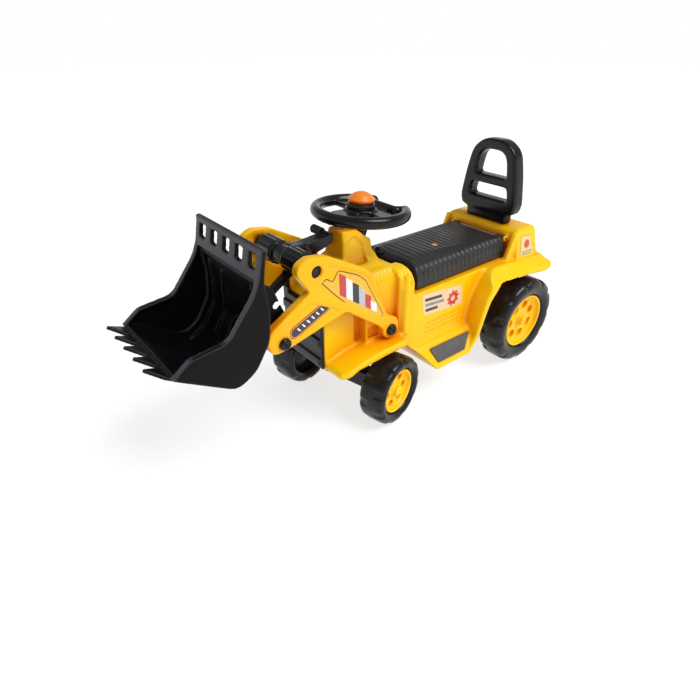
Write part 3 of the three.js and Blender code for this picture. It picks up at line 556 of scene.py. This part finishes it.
def body_moulding():
    # A ledge above each running board.
    ledge_ends = [(78, 108), (82, 112.4), (80.8, 117, 1.5), (78, 118.5)]
    ledge = mirrored_pair(lambda: prism(ledge_ends, -158, -46, "x"))
    body = fused(joined("body_moulding", [cad_copy("body_shell"), *ledge]), 2.2)
    tools = []
    # The recessed panel under the seat, which carries the sticker.
    side_panel = [(-40, 206), (-152, 201), (-165, 147), (-50, 158), (-40, 186)]
    tools += mirrored_pair(lambda: prism(side_panel, 79, 84))
    # The recessed panel on each side of the neck, which leans in with it.
    for side in (1, -1):
        panel = prism([(28, 262, 3), (64, 262, 3), (62, 298, 5), (46, 307, 4), (30, 292, 4)], -2.6, 12)
        lean = Matrix.Rotation(side * math.atan2(5, 38), 4, "X")
        flip = Matrix.Identity(4) if side > 0 else Matrix.Diagonal((1, -1, 1, 1))
        base = at(0, 0, NECK_FOOT_Z)
        shift = at(0, side * NECK_HALF_WIDTH, 0)
        tools.append(placed(panel, shift @ base @ lean @ base.inverted() @ flip))
    cut(body, *tools)
    body = pressed(fused(body, 1.9, 4), mouldings)
    return cut(body, *mirrored_pair(lambda: prism([(30, 147), (51, 147), (51, 165), (30, 165)], 57.6, 66)))


piece(body_moulding(), "body_moulding", YELLOW, "body_yellow", "body_shell")

grille = fused(cad_copy("front_grille"), 1.3, 2)
piece(grille, "front_grille_moulding", BLACK, "black_plastic", "front_grille")


def pad_on_slope(points, low, high):
    """An outline on the running board's slope: x along it, v up it from its middle, height off its face."""
    made = prism(points, low, high, "z")
    turn = Matrix.Rotation(math.atan2(35, -24), 4, "X")
    return placed(made, at(0, 106, 89.5) @ turn)


def step_pad():
    """The grained pad: a plain border round raised lines."""
    pad = pad_on_slope([(-134, -14, 3), (-66, -14, 3), (-57, 14, 3), (-160, 13, 3)], -2.2, -0.3)
    cut(pad, pad_on_slope([(-133, -11.2, 2), (-68, -11.2, 2), (-60.6, 11, 2), (-155, 10.2, 2)], -1.0, 2))
    lines = []
    for k in range(8):
        v = -9 + 2.5 * k
        left, right = -134.5 - 0.85 * (v + 11), -68.5 + 0.32 * (v + 11)
        line = [(left, v - 0.6), (right, v - 0.6), (right, v + 0.6), (left, v + 0.6)]
        lines.append(pad_on_slope(line, -1.4, -0.5))
    return bevelled(joined("pad", [pad, *lines]), 0.25, 1)


piece(step_pad(), "step_pad_left_grained", PAD_GREY, "pad_grey", "step_pad_left")
piece(flipped(step_pad()), "step_pad_right_grained", PAD_GREY, "pad_grey", "step_pad_right")

backrest = pressed(fused(cad_copy("backrest"), 1.8), lambda points, normals: np.full(points.shape[1], -0.9))
backrest = fused(backrest, 1.7, 26)
piece(backrest, "backrest_moulding", BLACK, "black_plastic", "backrest")


# ---------------------------------------------------------------- seat
def pleats(points, normals):
    """Soft transverse pleats over the top and down both sides, and a line along each side."""
    x, y, z = points
    outer = rise(normals[1] * y / 70 + 0.6 * normals[2], 0.1, 0.35)
    along = rise(x, -268, -262) * rise(-x, 54, 60)
    groove = np.clip(np.cos(2 * np.pi * (x + 60) / 11.4), 0, 1) ** 5
    fade = rise(z, 212, 222)
    line = np.exp(-(((z - 214.5) / 1.3) ** 2)) * rise(np.abs(y), 66, 69)
    return outer * along * (1.9 * groove * fade + 1.1 * line)


def seat_moulding():
    return pressed(fused(cad_copy("seat_lid"), 1.4, 4), pleats)


piece(seat_moulding(), "seat_moulding", CHARCOAL, "seat_charcoal", "seat_lid")
dot_profile = [(0, 0), (5.4, 0), (5.4, 0.7), (4.6, 1.2), (3.9, 0.9), (0, 0.9)]
dot = shaded(placed(lathe(dot_profile, 40), at(-136, 20, 247.2)))
piece(dot, "seat_dot", INK_ORANGE, "horn_orange", body="seat")

knob_profile = [(0, 253.4), (8.0, 253.4), (8.8, 254.4), (9.5, 257.6), (9.3, 260.6), (8.2, 263.4),
                (5.6, 265.6), (2.6, 266.5), (0, 266.6)]


def knob_dent(angle, radius, height):
    return 0.6 * max(0, math.cos(6 * angle)) ** 3 if 254 < height < 265 else 0


knob = placed(lathe(knob_profile, 72, knob_dent), at(KNOB_X, 0, 0))
stem = rod(4, (KNOB_X, 0, 246), (KNOB_X, 0, 255))
piece(shaded(joined("knob", [knob, stem])), "seat_latch_knob", BLACK, "black_plastic", "seat_knob")


# ---------------------------------------------------------------- wheels
def tyre_moulding(radius, width, rim, lugs):
    """A hollow tyre with a closed inner face and shallow grooves that alternate between its shoulders."""
    half, bead = width / 2, rim + 0.3
    wall = (radius + rim) / 2
    side = [(bead, 0.62), (bead + 1.2, 0.74), (bead + 3.4, 0.86), (bead + 6, 0.9), (wall - 3, 0.985),
            (wall + 1, 1.0), (radius * 0.9, 0.965), (radius * 0.95, 0.87), (radius * 0.975, 0.78),
            (radius * 0.993, 0.64), (radius, 0.48), (radius, 0.36), (radius, 0.22), (radius, 0.08)]
    profile = [(r, -h * half) for r, h in side] + [(r, h * half) for r, h in reversed(side)]

    def dent(angle, r, h):
        if r < radius * 0.86:
            return 0
        across = abs(h) / half
        wave = math.cos(lugs * angle + (math.pi if h > 0 else 0))
        groove = 1 / (1 + math.exp(-13 * (wave - 0.62)))
        return groove * min(1, max(0, (across - 0.16) / 0.24)) * radius * 0.04

    made = lathe(profile, lugs * 24, dent)
    smooth = made.modifiers.new("fine", "SUBSURF")
    smooth.levels = smooth.render_levels = 1
    applied(made)
    inner_face = [(4.3, -half * 0.6), (14, -half * 0.6), (18, -half * 0.47), (bead + 1.4, -half * 0.45),
                  (bead + 1.4, -half * 0.25), (4.3, -half * 0.25)]
    face = lathe(inner_face, 72)
    return shaded(joined("tyre", [made, face]))


def hub_moulding(rim, depth, holes, back):
    """A dished hub with a rolled rim, oval recesses between its spokes and a raised middle."""
    section = [(4.3, back), (9, back), (9, 6), (rim - 4.5, 6), (rim - 4.5, back), (rim, back),
               (rim, depth - 1.5), (rim - 1.2, depth), (rim - 3.5, depth - 0.4), (rim - 5.6, 13),
               (rim * 0.82, 10.5), (rim * 0.42, 9.4), (13, 10.5), (11, depth - 5), (10, depth - 4),
               (4.3, depth - 4)]
    dish = lathe(section, 96)
    backing = lathe([(8.5, 2.4), (rim - 4, 2.4), (rim - 4, 4.2), (8.5, 4.2)], 64)
    ribs, tools = [], []
    for i in range(holes):
        turn = Matrix.Rotation(2 * math.pi * i / holes, 4, "Z")
        oval = circle(rim * 0.15, 28, (rim * 0.6, 0), 0.175 / 0.15)
        collar = circle(rim * 0.195, 28, (rim * 0.6, 0), 0.225 / 0.195)
        tools.append(placed(prism(oval, 5, 18, "z"), turn))
        ribs.append(placed(prism(collar, 6.5, 11.6, "z"), turn))
    hub = fused(joined("hub", [dish, *ribs]), 1.2)
    cut(hub, *tools)
    return fused(joined("hub", [hub, backing]), 1.1, 3)


def cap_moulding(depth):
    base = depth - 3.7
    profile = [(0, base), (9, base), (9, base + 1.4), (8.4, base + 2.4), (6.4, base + 3.8),
               (5.2, base + 4.5), (4.2, base + 4.5), (3.4, base + 3.7), (0, base + 3.6)]
    return shaded(lathe(profile, 56))


Y_OUT = Matrix.Rotation(-math.pi / 2, 4, "X")


def on_side(pivot):
    """Stands a lathed shape on a pivot given as (x, z), with its height along y."""
    return at(pivot[0], 0, pivot[1]) @ Y_OUT


def wheel(name, centre, side, radius, width, rim, depth, holes, lugs):
    outward = centre @ (Matrix.Identity(4) if side > 0 else Matrix.Rotation(math.pi, 4, "X")) @ Y_OUT
    tyre = placed(tyre_moulding(radius, width, rim, lugs), outward)
    piece(tyre, name + "_tyre_moulding", TYRE_BLACK, "tyre_black", name + "_tyre")
    hub = placed(hub_moulding(rim, depth, holes, 0.3 - width * 0.125), outward)
    piece(hub, name + "_hub_moulding", HUB_YELLOW, "hub_yellow", name + "_hub")
    cap = placed(cap_moulding(depth), outward)
    piece(cap, name + "_hub_cap_moulding", HUB_YELLOW, "hub_yellow", name + "_hub_cap")


STEER = at(FRONT_AXLE_X, 0, 0) @ Matrix.Rotation(math.radians(STEERED), 4, "Z")
for side_name, side in (("left", 1), ("right", -1)):
    rear_centre = at(REAR_AXLE_X, side * REAR_HALF_TRACK, REAR_WHEEL["radius"])
    wheel("rear_" + side_name, rear_centre, side, **REAR_WHEEL)
    front_centre = STEER @ at(0, side * FRONT_HALF_TRACK, FRONT_WHEEL["radius"])
    wheel("front_" + side_name, front_centre, side, **FRONT_WHEEL)

carrier = fused(cad_copy("front_axle_carrier"), 1.4, 3)
piece(carrier, "front_axle_carrier_moulding", BLACK, "black_plastic", "front_axle_carrier")


# ---------------------------------------------------------------- steering wheel
def steering_moulding():
    turns = (math.radians(-STEERING_GAP + 2 * STEERING_GAP * k / 72) for k in range(73))
    arc = tube([(STEERING_RADIUS * math.cos(a), STEERING_RADIUS * math.sin(a)) for a in turns], 9)
    gap = math.radians(STEERING_GAP)
    parts = [arc, rod(8, (-44, -29, 0), (-44, 29, 0))]
    for side in (1, -1):
        end = (STEERING_RADIUS * math.cos(gap), side * STEERING_RADIUS * math.sin(gap), 0)
        parts += [ball(9, end), ball(8, (-44, side * 29, 0)), rod(8.2, (-44, side * 29, 0), end)]
    parts.append(prism([(-46, -20), (46, -18, 6), (52, 0, 10), (46, 18, 6), (-46, 20)], -7, 1, "z"))
    parts.append(box(-24, 4, -63, 63, -6, 2))
    parts.append(rod(25, (0, 0, -9), (0, 0, 5), 48))
    # Finger bumps under the front of the ring.
    for k in range(9):
        a = math.radians(-40 + 10 * k)
        parts.append(ball(4.2, (STEERING_RADIUS * math.cos(a), STEERING_RADIUS * math.sin(a), -6.2)))
    wheel_mesh = fused(joined("steering", parts), 1.5)
    cut(wheel_mesh, rod(5.3, (0, 0, -30), (0, 0, -4)), rod(21.6, (0, 0, -2), (0, 0, 10), 40))
    return fused(wheel_mesh, 1.4, 4)


RING = at(*STEERING_CENTRE) @ Matrix.Rotation(math.radians(STEERING_TILT), 4, "Y")
piece(placed(steering_moulding(), RING), "steering_wheel_moulding", BLACK, "black_plastic",
      "steering_wheel")
base_profile = [(0, -1.7), (21, -1.7), (21, 11.2), (20.4, 12), (18.8, 12), (18.3, 11.4), (18.3, 2.5),
                (0, 2.5)]
piece(shaded(placed(lathe(base_profile, 64), RING)), "horn_base_cup", BLACK, "black_plastic", "horn_base")
horn_profile = [(7, 12.5), (7, 8.5), (17.7, 8.5), (17.7, 15.4), (20.3, 15.4), (20.8, 16), (20.8, 18.4),
                (20.2, 19.6), (17.6, 21.0),
                (16.4, 22.6), (13, 25.4), (9, 27.4), (4.5, 28.7), (0, 29), (0, 12.5)]
piece(shaded(placed(lathe(horn_profile, 72), RING)), "horn_button_dome", ORANGE, "horn_orange",
      "horn_button")
collar = fused(cad_copy("column_collar"), 1.2, 3)
piece(collar, "column_collar_moulding", BLACK, "black_plastic", "column_collar")


# ---------------------------------------------------------------- arms
UPPER_FIELD = [(24, 188, 4), (34, 184, 4), (104, 232, 6), (158, 266, 8), (150, 286, 8), (138, 304, 8),
               (80, 276, 8), (66, 266, 8)]
LOWER_FIELD = [(118, 229, 5), (206, 207, 5), (210, 236, 6), (172, 258, 6), (160, 252, 4)]


def arm_moulding():
    arm = fused(cad_copy("arm_left"), 1.5)
    cut(arm, prism(UPPER_FIELD, PLATE_Y, 84), prism(LOWER_FIELD, PLATE_Y, 84))
    # The hollow behind the upper plate.
    cut(arm, prism([(p[0], p[1], 6) for p in inset(rounded(UPPER_FIELD, 1), 3)], 60, 70))
    knee_ring = lathe([(6.7, 60), (19, 60), (19, 76.8), (17.4, 78), (9.4, 78), (7.6, 76.6), (6.7, 75)], 48)
    root_ring = lathe([(6.3, 62), (15.5, 62), (15.5, 77.6), (6.3, 77.6)], 48)
    rings = [placed(knee_ring, on_side(KNEE)), placed(root_ring, on_side(ARM_ROOT))]
    made = fused(joined("arm", [arm, *rings]), 1.4, 3)
    countersink = rod(9.2, (KNEE[0], 73.4, KNEE[1]), (KNEE[0], 90, KNEE[1]), 48)
    cut(made, box(-20, 260, 50, 63.9, 100, 340), countersink)
    return shaded(made)


piece(arm_moulding(), "arm_left_moulding", ARM_YELLOW, "arm_yellow", "arm_left")
piece(flipped(arm_moulding()), "arm_right_moulding", ARM_YELLOW, "arm_yellow", "arm_right")


knee = [cad_copy("knee_shaft")]
for side in (1, -1):
    for radius, reach, sides in ((9.1, 73.8, 48), (5.2, 74.6, 6)):
        knee.append(rod(radius, (KNEE[0], side * 70.5, KNEE[1]), (KNEE[0], side * reach, KNEE[1]), sides))
piece(joined("knee", knee), "knee_shaft_headed", BLACK, "black_plastic", "knee_shaft")


def pivot_cap(radius, centre):
    profile = [(0, 78.3), (radius, 78.3), (radius, 81), (radius * 0.9, 82.4), (radius * 0.74, 83.6),
               (radius * 0.6, 83.9), (radius * 0.5, 83.2), (0, 83.2)]
    return shaded(placed(lathe(profile, 48), on_side(centre)))


for cap_name, radius, centre in (("arm_pivot_cap", 9.5, ARM_ROOT), ("bucket_pivot_cap", 9, BUCKET_PIVOT)):
    piece(pivot_cap(radius, centre), cap_name + "_left_dished", BLACK, "black_plastic", cap_name + "_left")
    piece(flipped(pivot_cap(radius, centre)), cap_name + "_right_dished", BLACK, "black_plastic",
          cap_name + "_right")


# ---------------------------------------------------------------- lever, link and bucket
def lever_moulding():
    parts = [cad_copy("control_lever")]
    for k in range(14):
        a = 2 * math.pi * k / 14
        x, z = KNEE[0] + 17.6 * math.cos(a), KNEE[1] + 17.6 * math.sin(a)
        parts += mirrored_pair(lambda: rod(1.5, (x, 15, z), (x, 49, z), 10))
    return fused(joined("lever", parts), 1.3, 3)


piece(lever_moulding(), "control_lever_moulding", BLACK, "black_plastic", "control_lever")


def grip_moulding():
    profile = [(4.7, 10.6), (6.2, 10.6), (6.6, 11.4)]
    for k in range(10):
        y = 12.6 + 1.9 * k
        profile += [(6.6, y), (6.1, y + 0.6), (6.1, y + 1.0), (6.6, y + 1.5)]
    profile += [(6.7, 32), (6.0, 33.2), (4.5, 33.6), (0, 33.6), (0, 31.4), (4.7, 31.4)]
    return shaded(placed(lathe(profile, 40), on_side(GRIP)))


piece(flipped(grip_moulding()), "lever_grip_ribbed", CHARCOAL, "seat_charcoal", "lever_grip")
link = pressed(fused(cad_copy("tilt_link"), 1.1, 2), lambda points, normals: np.full(points.shape[1], 0.25))
piece(link, "tilt_link_moulding", BLACK, "black_plastic", "tilt_link")


def bucket_moulding():
    """The pan with creases pressed into its back and floor and a rolled bar along the top of the guard."""
    parts = [cad_copy("bucket")]
    long_crease = [(248.2, 290), (251, 233), (272.3, 201.7), (266, 194), (243, 230), (242, 290)]
    short_crease = [(250.6, 236), (272.3, 201.7), (266, 194), (243, 230)]
    for y, crease in ((-24, long_crease), (8, short_crease)):
        parts.append(prism(crease, y - 1.4, y + 1.4))
    bar = [(235.9, 346, 1), (243.4, 346, 2), (244.0, 351, 2), (242, 353, 1), (236, 353, 1)]
    parts.append(prism(bar, -88, 88))
    return fused(joined("bucket", parts), 1.5, 3)


piece(bucket_moulding(), "bucket_moulding", BUCKET_BLACK, "bucket_black", "bucket")


# ---------------------------------------------------------------- stickers (plain shapes, no lettering)
def film(points, low, high, material, steps=5):
    made = prism(points, low, high, steps=steps)
    made.data.materials.append(material)
    return made


def capsule(start, end, radius):
    """A stadium outline between two points."""
    start, end = Vector(start), Vector(end)
    turn = math.atan2(end.y - start.y, end.x - start.x)
    made = []
    for centre, first in ((end, turn - math.pi / 2), (start, turn + math.pi / 2)):
        for k in range(13):
            a = first + math.pi * k / 12
            made.append((centre.x + radius * math.cos(a), centre.y + radius * math.sin(a)))
    return made


def arm_sticker():
    """A kite-shaped panel with slanted bars, and a stadium-shaped one with chevrons below it."""
    kite = [(152, 281, 2), (142, 284, 2), (132, 277, 2), (122, 291, 3), (86, 274, 5), (72, 262, 4),
            (34, 192, 4), (44, 187, 4), (104, 231, 3), (124, 250, 3), (136, 263, 2)]
    inner = shrunk(kite, 1.3, 3)
    parts = [film(kite, 76.3, 76.9, INK_BLACK), film(inner, 76.5, 77.05, INK_YELLOW)]
    # Hazard bands laid side by side, so that nothing stands alone like a letter.
    bands = ((108, 244, 38), (96, 235.5, 36), (84, 226.5, 35), (72, 218, 32), (60, 209.5, 27),
             (48.5, 201, 20))
    for k, (x, z, height) in enumerate(bands):
        band = [(x, z), (x + 12, z + 8.6), (x + 13, z + height + 4), (x + 1, z + height - 4)]
        parts.append(film(band, 76.7, 77.2 + 0.02 * k, (INK_RED, INK_WHITE, INK_BLACK, INK_SILVER)[k % 4]))
    start, end = (197, 220), (145, 243)
    for radius, top, ink in ((9.4, 76.8, INK_BLACK), (8.4, 76.95, INK_ORANGE), (6.6, 77.1, INK_BLACK)):
        parts.append(film(capsule(start, end, radius), 76.3, top, ink))
    for k in range(6):
        x, z = 190 - 8 * k, 219.6 + 3.6 * k
        chevron = [(x, z), (x - 2.2, z + 1.1), (x + 0.4, z + 3.6), (x + 2.4, z + 6.4), (x + 4.6, z + 5.3),
                   (x + 2.6, z + 2.6)]
        parts.append(film(chevron, 76.9, 77.3, INK_WHITE))
    return joined("sticker", parts)


def cog(x, z, outer, inner, teeth):
    points = []
    for k in range(teeth * 4):
        a = 2 * math.pi * k / (teeth * 4)
        r = outer if k % 4 < 2 else inner
        points.append((x + r * math.cos(a), z + r * math.sin(a)))
    return points


def side_sticker():
    """A cream panel under the seat with bars and a cog."""
    panel = [(-50, 199), (-150, 189), (-157, 147), (-57, 158)]
    parts = [film(panel, 78.4, 79.25, INK_CREAM)]
    for k, width in enumerate((42, 46, 30)):
        x, z = -57 - 1.6 * k, 190 - 10 * k
        drop = 0.09 * width
        bar = [(x, z), (x - width, z - drop), (x - width - 1, z - drop - 5.5), (x - 1, z - 5.5)]
        parts.append(film(bar, 78.8, 79.45, INK_GREY if k % 2 else INK_BLACK))
    parts.append(film(cog(-129, 169.5, 15, 11.5, 9), 78.8, 79.45, INK_RED))
    parts.append(film(cog(-129, 169.5, 5, 5, 6), 79, 79.6, INK_CREAM))
    return joined("sticker", parts)


def deck_sticker():
    """A pale panel with a thin frame, a round badge and two bars on the sloping side of the rear deck."""
    panel = [(-300, 244, 2), (-328, 241, 2), (-344, 202, 2), (-298, 205, 2)]
    parts = [film(panel, -0.4, 0.3, INK_GREY), film(shrunk(panel, 0.9, 2), -0.2, 0.45, INK_PALE_YELLOW)]
    parts.append(film(cog(-318, 226, 8, 8, 6), 0, 0.6, INK_RED))
    for k, z in enumerate((211, 206.5)):
        bar = [(-304, z), (-336 + 4 * k, z - 1), (-336 + 4 * k, z + 1.4), (-304, z + 2.4)]
        parts.append(film(bar, 0, 0.6, INK_GREY))
    made = joined("sticker", parts)
    # The deck's side leans in: half width 93 at height 190, 82 at 256.
    turn = Matrix.Rotation(math.atan2(93 - 82, 256 - 190), 4, "X")
    foot = Matrix.Translation(Vector((0, 0, 190)) * MM)
    return placed(made, Matrix.Translation(Vector((0, 93, 0)) * MM) @ foot @ turn @ foot.inverted())


for builder, label, body in ((arm_sticker, "arm_sticker", "arms"), (side_sticker, "side_sticker", "frame"),
                             (deck_sticker, "deck_sticker", "frame")):
    piece(builder(), label + "_left", None, "pad_grey", body=body)
    piece(flipped(builder()), label + "_right", None, "pad_grey", body=body)


# ---------------------------------------------------------------- CAD nodes that are shown as they are
def finish_node(node, material):
    mesh = NODES[node].data
    mesh.materials.clear()
    mesh.materials.append(material)


CARRIED = {
    STEEL: ("backrest_screw_left", "backrest_screw_right", "arm_pivot_shaft", "seat_hinge_rod",
            "rear_axle_rod", "front_axle_rod", "steering_shaft", "horn_spring", "bucket_pivot_shaft"),
    BLACK: ("chassis_base", "storage_bin"),
}
for material, names in CARRIED.items():
    for node in names:
        finish_node(node, material)


# ---------------------------------------------------------------- floor, light and camera
def studio():
    """A pale floor, one broad key light from the rider's left, and a soft sky, brightest at the horizon."""
    reach = 9000
    corners = [(-reach, -reach, -0.2), (reach, -reach, -0.2), (reach, reach, -0.2), (-reach, reach, -0.2)]
    floor = make("floor", corners, [[0, 1, 2, 3]])
    glow = {"Emission_Color": (1, 1, 1, 1), "Emission_Strength": 0.74}
    material, tree, shader = new_material("pale_floor", Roughness=0.9, Specular_IOR_Level=0.1, **glow)
    where = tree.nodes.new("ShaderNodeTexCoord").outputs["Object"]
    stops = [(0.3, (0.36, 0.36, 0.36)), (0.7, (0.39, 0.39, 0.39))]
    tree.links.new(ramp(tree, noise(tree, where, 2, 2), stops), shader.inputs["Base Color"])
    floor.data.materials.append(material)
    light = bpy.data.lights.new("key", "SUN")
    light.energy, light.angle = 2.3, math.radians(34)
    lamp = bpy.data.objects.new("key", light)
    lamp.rotation_euler = (-Vector((-0.3, 0.6, 1.0))).to_track_quat("-Z", "Y").to_euler()
    bpy.context.scene.collection.objects.link(lamp)
    world = bpy.data.worlds.new("studio")
    bpy.context.scene.world = world
    world.use_nodes = True
    sky = world.node_tree.nodes["Background"]
    sky.inputs["Color"].default_value = (1, 1, 1, 1)
    # White round the horizon, dimmer overhead.
    tree = world.node_tree
    height = tree.nodes.new("ShaderNodeSeparateXYZ")
    tree.links.new(tree.nodes.new("ShaderNodeTexCoord").outputs["Generated"], height.inputs[0])
    tree.links.new(spread(tree, height.outputs["Z"], 1.0, 0.36, 0.16, 0.4), sky.inputs["Strength"])


def camera():
    data = bpy.data.cameras.new("camera")
    data.lens, data.sensor_width = 26.4, 36
    obj = bpy.data.objects.new("camera", data)
    back = Vector((0.5327, 0.6521, 0.5394)).normalized()
    right = Vector((0, 0, 1)).cross(back).normalized()
    up = back.cross(right)
    turn = Matrix((right, up, back)).transposed().to_4x4()
    obj.matrix_world = Matrix.Translation((0.5199, 0.5892, 0.5771)) @ turn
    bpy.context.scene.collection.objects.link(obj)
    bpy.context.scene.camera = obj


studio()
camera()
bpy.context.scene.view_settings.view_transform = "Standard"
